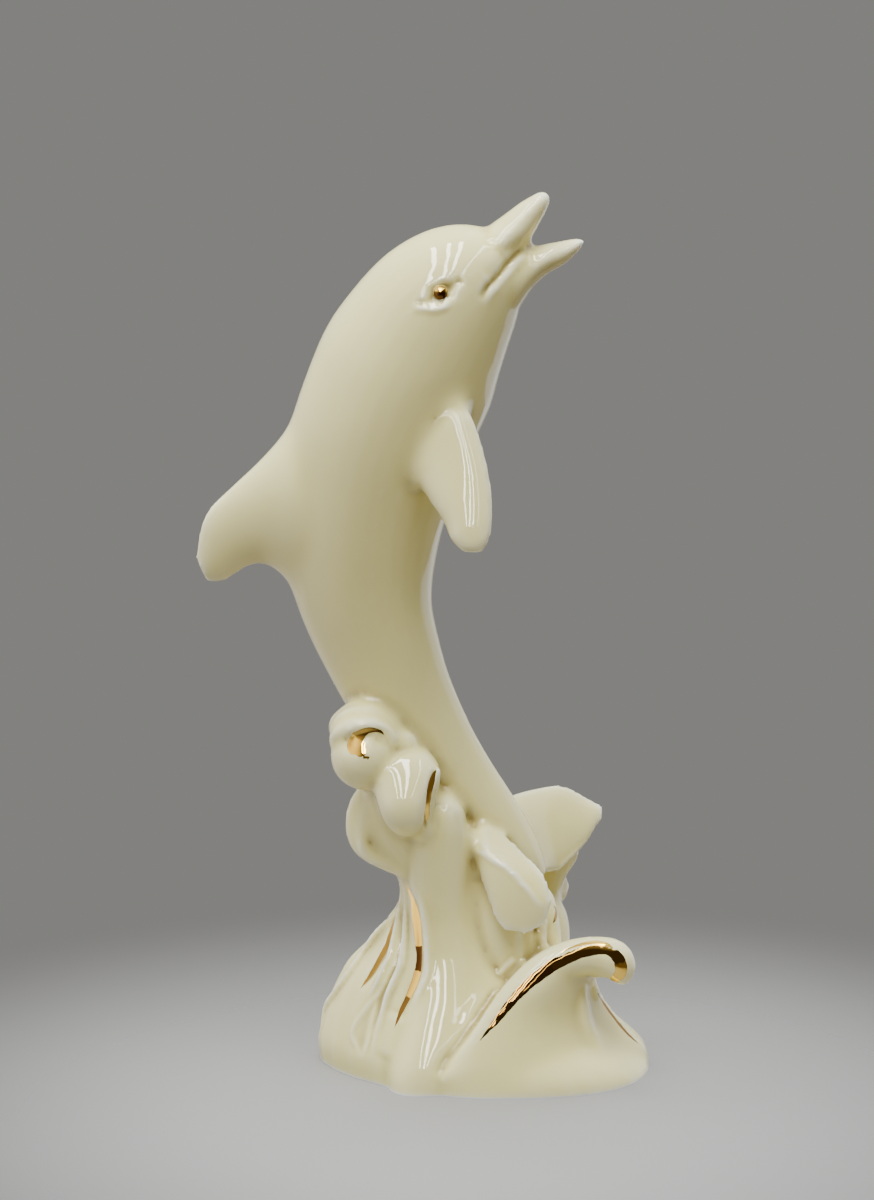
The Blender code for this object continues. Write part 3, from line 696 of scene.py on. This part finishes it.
# The water's marks: the hollows of the foam, the ridges and grooves of the skirt with the hollows that hold the
# gold, the leaf and the low swell beside them, the line at the wave's foot, the end of its crest, and two hollows
# at the back.
marks = [
    ("crescent", -1, ((350, 754), (351, 745), (357, 737.5), (370, 732.5), (384, 734), (392, 742)), 0.9, -0.3),
    ("strip_hollow", -1, ((437, 764), (431, 785), (429, 797), (427, 812), (425, 830)), 0.45, -0.5),
    (
        "outer_ridge", -1,
        (
            (398, 880), (397, 903), (386, 921), (374, 937), (360, 958), (346, 978), (334, 995), (325, 1010),
            (320, 1030),
        ),
        0.45, 0.6,
    ),
    ("brown_hollow", -1, ((394, 915), (388, 943.5), (376, 965), (360.5, 989.5)), 0.7, -0.5),
    (
        "second_ridge", -1,
        ((400, 885), (400.5, 907), (396, 931), (389.5, 957), (383.5, 969.5), (376, 985), (366, 1000)),
        0.42, 0.55,
    ),
    (
        "skirt_groove", -1,
        ((402, 900), (401, 930), (400, 944), (396, 965), (389, 980), (382, 996), (371, 1031), (367, 1060)),
        0.55, -0.65,
    ),
    (
        "third_ridge", -1,
        ((404, 884), (406, 916), (405, 939), (400.5, 965), (393, 983), (384, 1005), (376, 1035)),
        0.5, 0.6,
    ),
    (
        "bright_hollow", -1,
        ((407, 886), (413, 902), (417, 922), (419, 945), (419, 966), (411, 992), (398, 1022)),
        0.9, -0.45,
    ),
    (
        "column_edge", -1,
        ((412, 884), (421, 905), (426, 935), (426.5, 962), (425, 978), (418, 994), (409, 1012)),
        0.55, 0.35,
    ),
    ("leaf", -1, ((384, 982), (376, 1000), (367, 1020), (361, 1040), (358, 1058)), 1.2, -0.35),
    (
        "leaf_edge", -1,
        ((388, 978), (380, 990), (368, 1005), (355, 1024), (352, 1036), (356, 1047), (362, 1060)),
        0.4, 0.16,
    ),
    ("leaf_edge", -1, ((388, 978), (384, 992), (378, 1008), (371, 1030), (366, 1046), (360, 1062)), 0.4, 0.16),
    ("low_swell", -1, ((398, 1010), (391, 1035), (385, 1060)), 1.6, 0.25),
    ("wave_foot", -1, ((499, 984), (471, 1026), (432, 1078)), 0.8, -0.35),
    ("crest_line", -1, ((497, 976), (506, 967), (516, 957)), 0.4, 0.3),
]
for places in (((412, 900), (418, 940), (418, 985), (408, 1030)), ((466, 925), (476, 965), (490, 1005), (506, 1040))):
    marks.append(("back_hollow", 1, places, 0.9, -0.6))
refined(marks, reach=0.6)
worked(marks)
softened(marks, EDGES_RUBBED)

# The foot: ground level, its middle pressed in, with the small hole that lets the air out in the kiln.
bpy.ops.object.mode_set(mode="EDIT")
bpy.ops.mesh.select_all(action="SELECT")
bpy.ops.mesh.bisect(plane_co=(0, 0, 0), plane_no=(0, 0, -1), use_fill=True, clear_outer=True, threshold=1e-6)
bpy.ops.mesh.select_all(action="SELECT")
bpy.ops.mesh.normals_make_consistent(inside=False)
bpy.ops.object.mode_set(mode="OBJECT")

UNDER_FOOT = -1.0
HOLLOW_SHARE = 0.87
HOLLOW_DEPTH = 0.9
VENT_RADIUS = 2.2
VENT_DEPTH = 9.0
SHARP_EDGE = math.radians(50)
foot = COLUMN[1]
arms = [Vector(arm) * HOLLOW_SHARE for arm in ((foot[3], 0, 0), (0, foot[4], 0), (-foot[5], 0, 0), (0, -foot[6], 0))]
drawn_out([ring(Vector((0, 0, z)), arms, (foot[7], foot[8], foot[8], foot[7])) for z in (UNDER_FOOT, HOLLOW_DEPTH)])
round_arms = [arm.normalized() * VENT_RADIUS for arm in arms]
drawn_out([ring(Vector((0, 0, z)), round_arms) for z in (0.0, VENT_DEPTH)])
for cutter in forms[-2:]:
    bpy.ops.object.select_all(action="DESELECT")
    figurine.select_set(True)
    bpy.context.view_layer.objects.active = figurine
    finished_with("BOOLEAN", operation="DIFFERENCE", solver="MANIFOLD", object=cutter)
    bpy.data.objects.remove(cutter)
bpy.ops.object.shade_smooth_by_angle(angle=SHARP_EDGE)

# The gilding: bright gold painted by brush over the fired glaze and fired again. Each stroke holds its side, how
# bright its gold is painted, from dark brown to bright as a painted reflection of its surroundings, and points of
# its middle line in the picture with its half width there in mm. It is kept on the skin as attributes.
REACH = 3.0
STROKE_POINTS = 60
ENDS_OPEN = 9


def gilded(strokes):
    """Marks how far each point of the skin lies to the side of the nearest stroke, and the stroke's half width and
    painted reflection there."""
    (points, normals), tree = skin_points(), skin_tree()
    marks, painted_reflections = np.zeros((len(points), 3)), np.zeros(len(points))
    for side, painted_reflection, places in strokes:
        path = [(met(tree, x, y, side), half) for x, y, half in spline(places, STROKE_POINTS)]
        path = [(point, half) for point, half in path if point is not None]
        close = beside(np.array([point for point, half in path]), points, REACH)
        spots, outward, found = points[close], normals[close], marks[close]
        for k, ((a, wide), (b, narrow)) in enumerate(zip(path, path[1:])):
            along = b - a
            length = np.linalg.norm(along)
            if length < 1e-6:
                continue
            t = (spots - a) @ along / length**2
            kept = np.clip(t, 0, 1)
            t = np.clip(t, -ENDS_OPEN if k == 0 else 0, ENDS_OPEN if k == len(path) - 2 else 1)
            off = spots - a - t[:, None] * along
            near = REACH - np.linalg.norm(spots - a - kept[:, None] * along, axis=1)
            across = np.sign(np.einsum("ij,ij->i", np.cross(along, off), outward)) * np.linalg.norm(off, axis=1)
            half = wide + (narrow - wide) * kept - np.abs(t - kept) * length
            closer = near > found[:, 2]
            found[closer] = np.stack([across, half, near], axis=1)[closer]
            painted_reflections[close[closer]] = painted_reflection
        marks[close] = found
    layer = figurine.data.attributes.new("gilding", "FLOAT_VECTOR", "POINT")
    layer.data.foreach_set("vector", marks.astype(np.float32).ravel())
    layer = figurine.data.attributes.new("gold_painted_reflection", "FLOAT", "POINT")
    layer.data.foreach_set("value", painted_reflections.astype(np.float32))


gold = [
    # The streak of the skirt, in four stretches painted bright and dark in turn as reflections.
    (
        -1, 1.0,
        (
            (405.5, 883, 0.0), (409.5, 892, 0.45), (412.3, 900, 0.62), (416.4, 919, 0.76), (418.6, 940, 0.6),
            (418.9, 946, 0.55),
        ),
    ),
    (-1, 0.0, ((418.9, 946, 0.55), (419.4, 959, 0.45), (418.2, 971, 0.54))),
    (-1, 1.0, ((418.2, 971, 0.54), (416, 979, 0.6), (413.5, 986, 0.56), (408.5, 997, 0.48))),
    (-1, 0.1, ((408.5, 997, 0.48), (400.5, 1013, 0.34), (394, 1029, 0.0))),
    # The streak at its left, painted brownish dark as a reflection.
    (
        -1, 0.3,
        (
            (396, 912, 0.03), (393.5, 922, 0.15), (390, 935, 0.34), (386.5, 946, 0.42), (380, 959, 0.45),
            (371.5, 974, 0.36), (360, 989, 0.0),
        ),
    ),
    # The wave's crest, painted dark as a reflection, its curl, painted bright, and a bright line over it that is a
    # painted highlight.
    (-1, 0.1, ((479.6, 1041, 0.0), (497, 1020, 0.45), (517.5, 995, 0.68), (534, 979.5, 0.8), (552, 966, 0.88))),
    (
        -1, 0.2,
        (
            (552, 966, 0.88), (573.5, 954.5, 0.92), (594, 949, 0.9), (609, 950.5, 0.8), (619, 959, 0.9),
            (620.5, 963, 0.95),
        ),
    ),
    (-1, 1.0, ((620.5, 963, 0.95), (622, 970, 0.95), (618, 977, 0.9), (610, 983, 0.2))),
    (-1, 1.0, ((560, 953, 0.0), (574, 946.5, 0.2), (590, 942.5, 0.35), (604, 943.5, 0.4), (612, 947.5, 0.1))),
    # The crescent under the hood, its blob painted bright and its arc darker, as reflections.
    (-1, 1.0, ((360, 750, 1.0), (356.5, 745, 1.5), (357, 738, 1.0))),
    (-1, 0.4, ((357, 738, 1.0), (363, 732.5, 0.65), (371, 730, 0.4), (380, 731.5, 0.2), (385, 735.5, 0.0))),
    # The strip on the front lobe.
    (
        -1, 1.0,
        (
            (436, 770, 0.05), (432, 778, 0.45), (430.5, 785, 0.52), (429, 795, 0.42), (427.2, 806, 0.4),
            (427, 815, 0.45), (425.5, 823, 0.05),
        ),
    ),
    # The line down the wave's right edge.
    (-1, 0.15, ((597, 992, 0.05), (604, 1003.6, 0.3), (616, 1020, 0.32), (628, 1034, 0.3), (639, 1044, 0.05))),
    # The two lines at the back.
    (1, 1.0, ((412, 900, 0.0), (416, 920, 0.4), (418.5, 940, 0.6), (419, 965, 0.5), (417, 990, 0.4), (408, 1030, 0.0))),
    (1, 0.5, ((466, 925, 0.0), (470, 945, 0.3), (476, 965, 0.45), (483, 985, 0.4), (490, 1005, 0.3), (500, 1030, 0.0))),
    # The small spot behind the near fluke.
    (-1, 0.3, ((554, 906, 0.1), (556.5, 911, 0.4), (555, 919, 0.3), (553, 923, 0.05))),
]
refined([("gold", side, [place[:2] for place in places], 0.8) for side, painted_reflection, places in gold], reach=0.3)
gilded(gold)

# The glaze and the gold: a clear ivory glaze over the porcelain, deeper in tone where it pools in the hollows
# and paler where it thins over the edges, with painted shade laid into the hollows and a painted highlight along
# the edges, and the gold lying over it as a bright metal. How hollow the skin is comes from the way it bends
# toward or away from its neighbouring points.
IVORY = (0.78, 0.685, 0.26, 1.0)
# The pooled tone also serves as painted shade in the hollows, and the thinned tone as a painted highlight on the edges.
POOLED_AND_SHADED = (0.40, 0.31, 0.09, 1.0)
THINNED_AND_LIT = (0.90, 0.86, 0.62, 1.0)
BARE = (0.80, 0.77, 0.70, 1.0)
# The gold runs from its own bright colour to a dark brown, which is a painted reflection of dark surroundings.
GOLD = (1.0, 0.66, 0.13, 1.0)
GOLD_PAINTED_DARK = (0.11, 0.048, 0.014, 1.0)

# How many rounds a crease and a wider dip are spread over the skin for, and how much each then counts.
SPREAD = ((3, 2.0), (14, 4.0))

points, normals = skin_points()
ends = np.empty(len(figurine.data.edges) * 2, int)
figurine.data.edges.foreach_get("vertices", ends)
one, other = ends.reshape(-1, 2).T
edges_met = np.bincount(ends, minlength=len(points))


def gathered(at_one, at_other):
    """The mean at each point of what its edges carry."""
    return (np.bincount(one, at_one, len(points)) + np.bincount(other, at_other, len(points))) / edges_met


along = points[other] - points[one]
square = np.maximum(np.einsum("ij,ij->i", along, along), 1e-6)
toward_other = np.einsum("ij,ij->i", along, normals[one]) / square
toward_one = -np.einsum("ij,ij->i", along, normals[other]) / square
bend = gathered(toward_other, toward_one)
hollows = []
for rounds, scale in SPREAD:
    for _ in range(rounds):
        bend = (bend + gathered(bend[other], bend[one])) / 2
    hollows.append(np.clip(bend * scale, -1, 1))
layer = figurine.data.attributes.new("hollow", "FLOAT_VECTOR", "POINT")
layer.data.foreach_set("vector", np.stack([*hollows, np.zeros(len(points))], axis=1).astype(np.float32).ravel())

glaze = bpy.data.materials.new("ivory_glaze")
glaze.use_nodes = True
nodes, links = glaze.node_tree.nodes, glaze.node_tree.links
shader = nodes["Principled BSDF"]
shader.inputs["IOR"].default_value = 1.55
shader.inputs["Subsurface Weight"].default_value = 0.15
shader.inputs["Subsurface Radius"].default_value = (1.0, 0.75, 0.4)
shader.inputs["Subsurface Scale"].default_value = 0.002
place = nodes.new("ShaderNodeTexCoord")


def calculated(operation, first, second=None, clamped=False):
    """A Math node fed by sockets or numbers."""
    node = nodes.new("ShaderNodeMath")
    node.operation = operation
    node.use_clamp = clamped
    for i, value in enumerate((first, second)):
        if value is None:
            continue
        if isinstance(value, bpy.types.NodeSocket):
            links.new(value, node.inputs[i])
        else:
            node.inputs[i].default_value = value
    return node.outputs[0]


def mixed(first, second, amount):
    """A colour between two colours or colour sockets."""
    node = nodes.new("ShaderNodeMix")
    node.data_type = "RGBA"
    for socket, value in (("A", first), ("B", second)):
        if isinstance(value, bpy.types.NodeSocket):
            links.new(value, node.inputs[socket])
        else:
            node.inputs[socket].default_value = value
    links.new(amount, node.inputs["Factor"])
    return node.outputs["Result"]


def clouds(scale, detail=2.0, where=None):
    """Soft noise over the skin."""
    node = nodes.new("ShaderNodeTexNoise")
    node.inputs["Scale"].default_value = scale
    node.inputs["Detail"].default_value = detail
    links.new(where or place.outputs["Object"], node.inputs["Vector"])
    return node.outputs["Fac"]


def measured(name):
    """An attribute of the skin, as one value and as three."""
    node = nodes.new("ShaderNodeAttribute")
    node.attribute_name = name
    parts = nodes.new("ShaderNodeSeparateXYZ")
    links.new(node.outputs["Vector"], parts.inputs[0])
    return node.outputs["Fac"], parts.outputs["X"], parts.outputs["Y"], parts.outputs["Z"]


# The gold reaches this far from its middle line, its edge wavers this much, and it thins toward the edge, where
# its painted reflection darkens.
GOLD_REACHES = 1.8
EDGE_CLOUDS, EDGE_WAVERS = 900, 0.25
EDGE_THINS = 4.0
_, across, half, near = measured("gilding")
wavering = calculated("MULTIPLY", calculated("SUBTRACT", clouds(EDGE_CLOUDS), 0.5), EDGE_WAVERS)
inside = calculated("ADD", calculated("SUBTRACT", half, calculated("ABSOLUTE", across)), wavering)
close_by = calculated("GREATER_THAN", near, REACH - GOLD_REACHES)
gold_mask = calculated("MULTIPLY", calculated("GREATER_THAN", inside, 0.0), close_by)
fullness = calculated("ADD", calculated("MULTIPLY", inside, EDGE_THINS), 0.5, clamped=True)
painted_reflection = calculated("MULTIPLY", measured("gold_painted_reflection")[0], fullness)

# Each eye's bead is gilded too, with a painted reflection: bright above this height from its middle and brown below.
GLINT_ABOVE, GLINT_SHARPNESS = 0.05, 4.0
height = nodes.new("ShaderNodeSeparateXYZ")
links.new(place.outputs["Object"], height.inputs[0])
for eye in eyes:
    away = nodes.new("ShaderNodeVectorMath")
    away.operation = "DISTANCE"
    away.inputs[1].default_value = Vector(eye) * MM
    links.new(place.outputs["Object"], away.inputs[0])
    bead = calculated("LESS_THAN", away.outputs["Value"], BEAD * MM)
    above = calculated("SUBTRACT", height.outputs["Z"], (eye[2] + GLINT_ABOVE) * MM)
    painted_glint = calculated("MULTIPLY", above, GLINT_SHARPNESS / MM, clamped=True)
    gold_mask = calculated("MAXIMUM", gold_mask, bead)
    painted_reflection = calculated("MAXIMUM", painted_reflection, calculated("MULTIPLY", bead, painted_glint))

# The glaze's tone: deep in creases and dips, with painted shade there over the glaze's pooling, uneven in soft
# clouds, pale over edges as a painted highlight over its thinning, and none on the foot's ring.
CREASE_SHOWS, DIP_SHOWS, CLOUDS_SHOW = 0.9, 0.45, 0.30
TONE_CLOUDS, TONE_MEAN = 70, 0.45
BARE_BELOW = 0.15
_, crease, dip, _ = measured("hollow")
pooling_and_painted_shade = calculated("ADD", calculated("MULTIPLY", crease, CREASE_SHOWS), calculated("MULTIPLY", dip, DIP_SHOWS))
uneven = calculated("MULTIPLY", calculated("SUBTRACT", clouds(TONE_CLOUDS, 3.0), TONE_MEAN), CLOUDS_SHOW)
pooling_and_painted_shade = calculated("ADD", pooling_and_painted_shade, uneven, clamped=True)
thinning_and_painted_highlight = calculated("MULTIPLY", crease, -CREASE_SHOWS, clamped=True)
bare = calculated("LESS_THAN", height.outputs["Z"], BARE_BELOW * MM)
body = mixed(mixed(mixed(IVORY, POOLED_AND_SHADED, pooling_and_painted_shade), THINNED_AND_LIT, thinning_and_painted_highlight), BARE, bare)

# The fine lines of the brush run along each stroke of gold and roughen it slightly. The glaze has soft clouds of
# roughness, a faint unevenness, and a matt bare ring under the foot.
LINES_ACROSS, LINES_DOWN = 9.0, 300.0
POLISH = 0.02
BRUSH_ROUGHNESS, GLAZE_ROUGHNESS, BARE_ROUGHNESS = 0.05, 0.03, 0.6
BRUSH_HEIGHT = 0.02
UNEVENNESS = 0.04
lines = nodes.new("ShaderNodeCombineXYZ")
links.new(calculated("MULTIPLY", across, LINES_ACROSS), lines.inputs["X"])
links.new(calculated("MULTIPLY", height.outputs["Z"], LINES_DOWN), lines.inputs["Y"])
brush_lines = clouds(1.0, 3.0, lines.outputs["Vector"])
gold_roughness = calculated("ADD", calculated("MULTIPLY", brush_lines, BRUSH_ROUGHNESS), POLISH)
smooth_glaze = calculated("ADD", calculated("MULTIPLY", clouds(400), GLAZE_ROUGHNESS), POLISH)
glaze_roughness = calculated("ADD", smooth_glaze, calculated("MULTIPLY", bare, BARE_ROUGHNESS))
rougher = calculated("MULTIPLY", gold_mask, calculated("SUBTRACT", gold_roughness, glaze_roughness))
brushed = calculated("MULTIPLY", calculated("MULTIPLY", gold_mask, brush_lines), BRUSH_HEIGHT)
bump = nodes.new("ShaderNodeBump")
bump.inputs["Distance"].default_value = UNEVENNESS * MM
links.new(calculated("ADD", clouds(230, 0.0), brushed), bump.inputs["Height"])
# The gold's colour goes from bright to dark brown by its painted reflection.
links.new(mixed(body, mixed(GOLD_PAINTED_DARK, GOLD, painted_reflection), gold_mask), shader.inputs["Base Color"])
links.new(gold_mask, shader.inputs["Metallic"])
links.new(calculated("ADD", glaze_roughness, rougher), shader.inputs["Roughness"])
links.new(bump.outputs["Normal"], shader.inputs["Normal"])

figurine.data.materials.clear()
figurine.data.materials.append(glaze)
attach(figurine, "root")
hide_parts("dolphin_figurine")

# The stage: a pale floor whose edge fades away and a soft grey room, with lights overhead, at both sides and low
# in front, and four narrow lamps that only show in the glaze. None of it is part of the object.
FLOOR_RADIUS = 0.4
FLOOR_MIDDLE = (0, -0.03, 0)
FLOOR_FADES = (0.02, 0.12)

bpy.ops.object.select_all(action="DESELECT")
bpy.ops.mesh.primitive_circle_add(vertices=96, radius=FLOOR_RADIUS, fill_type="NGON", location=FLOOR_MIDDLE)
floor = bpy.context.object
floor.name = "floor"
paint = bpy.data.materials.new("pale_floor")
paint.use_nodes = True
nodes, links = paint.node_tree.nodes, paint.node_tree.links
shader = nodes["Principled BSDF"]
shader.inputs["Base Color"].default_value = (0.26, 0.247, 0.21, 1)
shader.inputs["Roughness"].default_value = 0.6
shader.inputs["Specular IOR Level"].default_value = 0.12
place = nodes.new("ShaderNodeTexCoord")
away = nodes.new("ShaderNodeVectorMath")
away.operation = "LENGTH"
links.new(place.outputs["Object"], away.inputs[0])
fade = nodes.new("ShaderNodeMapRange")
fade.interpolation_type = "SMOOTHSTEP"
fade.inputs["From Min"].default_value, fade.inputs["From Max"].default_value = FLOOR_FADES
fade.inputs["To Min"].default_value, fade.inputs["To Max"].default_value = 1.0, 0.0
links.new(away.outputs["Value"], fade.inputs["Value"])
links.new(fade.outputs["Result"], shader.inputs["Alpha"])
floor.data.materials.append(paint)

sky = bpy.data.worlds.new("studio")
bpy.context.scene.world = sky
sky.use_nodes = True
nodes, links = sky.node_tree.nodes, sky.node_tree.links
backdrop = nodes["Background"]
backdrop.inputs["Color"].default_value = (0.225, 0.222, 0.212, 1)
way = nodes.new("ShaderNodeTexCoord")
heading = nodes.new("ShaderNodeSeparateXYZ")
links.new(way.outputs["Generated"], heading.inputs[0])


def room(axis, tones):
    """A background that changes along one axis of the direction it is seen in, from tones of (place, colour)."""
    scale = nodes.new("ShaderNodeMapRange")
    scale.inputs["From Min"].default_value = -1
    links.new(heading.outputs[axis], scale.inputs["Value"])
    ramp = nodes.new("ShaderNodeValToRGB")
    for k, (spot, colour) in enumerate(tones):
        stop = ramp.color_ramp.elements[k] if k < 2 else ramp.color_ramp.elements.new(0.5 + spot / 2)
        stop.position = 0.5 + spot / 2
        stop.color = (*colour, 1)
    links.new(scale.outputs["Result"], ramp.inputs["Fac"])
    background = nodes.new("ShaderNodeBackground")
    links.new(ramp.outputs["Color"], background.inputs["Color"])
    return background.outputs["Background"]


def together(first, second):
    """Two backgrounds added to each other."""
    both = nodes.new("ShaderNodeAddShader")
    links.new(first, both.inputs[0])
    links.new(second, both.inputs[1])
    return both.outputs["Shader"]


soft_light = room("Z", [(-0.1, (0.21, 0.175, 0.115)), (0.2, (0.10, 0.092, 0.065)), (0.95, (0.85, 0.90, 1.0))])
window = room("X", [(-0.8, (1.6, 1.45, 1.15)), (-0.15, (0, 0, 0))])
ceiling = room("Z", [(0.8, (0, 0, 0)), (0.95, (0.8, 0.8, 0.8))])
walls = room("Y", [(-0.1, (0.12, 0.09, 0.05)), (0.5, (0.45, 0.44, 0.40))])
mirrored = together(window, together(ceiling, walls))
seen = nodes.new("ShaderNodeLightPath")


def chosen(ray, otherwise, background):
    """One background for one kind of ray and another for the rest."""
    both = nodes.new("ShaderNodeMixShader")
    links.new(seen.outputs[ray], both.inputs["Fac"])
    links.new(otherwise, both.inputs[1])
    links.new(background, both.inputs[2])
    return both.outputs["Shader"]


light_of_room = chosen("Is Glossy Ray", soft_light, mirrored)
background = chosen("Is Camera Ray", light_of_room, backdrop.outputs["Background"])
links.new(background, nodes["World Output"].inputs["Surface"])


def lamp(name, place, aim, width, length, power, colour, lights=True, mirrored=True):
    """An area light that faces a point. It may be kept from lighting the skin or from being mirrored in it."""
    bpy.ops.object.light_add(type="AREA", location=place)
    light = bpy.context.object
    light.name = name
    light.data.shape = "RECTANGLE"
    light.data.size, light.data.size_y = width, length
    light.data.energy = power
    light.data.color = colour
    light.visible_camera = False
    light.visible_diffuse = lights
    light.visible_glossy = mirrored
    light.rotation_euler = (Vector(place) - Vector(aim)).to_track_quat("Z", "Y").to_euler()
    return light


MIDDLE = (-0.007, 0, 0.07)
FOOT = (-0.007, 0, 0.028)
COOL = (0.92, 0.98, 1.16)
WARM = (1.0, 0.97, 0.9)
FOOT_LIGHT_SPREADS = math.radians(16)
lamp("overhead", (-0.12, -0.06, 0.9), MIDDLE, 1.0, 0.6, 25.0, COOL, mirrored=False)
lamp("left_side", (-0.8, -0.05, 0.4), MIDDLE, 0.6, 1.0, 2.0, COOL, mirrored=False)
lamp("right_side", (0.55, 0.55, 0.4), MIDDLE, 0.9, 1.6, 4.5, COOL)
foot_light = lamp("foot_light", (-0.22, -0.55, 0.2), FOOT, 0.12, 0.12, 0.01, COOL, mirrored=False)
foot_light.data.spread = FOOT_LIGHT_SPREADS
STRIP_WIDTH, STRIP_LENGTH = 0.042, 2.2
for k, (across, power) in enumerate(((-0.27, 10.0), (-0.12, 10.0), (0.0, 10.0), (0.24, 4.0))):
    above, below = (across, -1.0, 0.85), (across, -1.0, 0)
    lamp(f"strip_{k + 1}", above, below, STRIP_WIDTH, STRIP_LENGTH, power, WARM, lights=False)
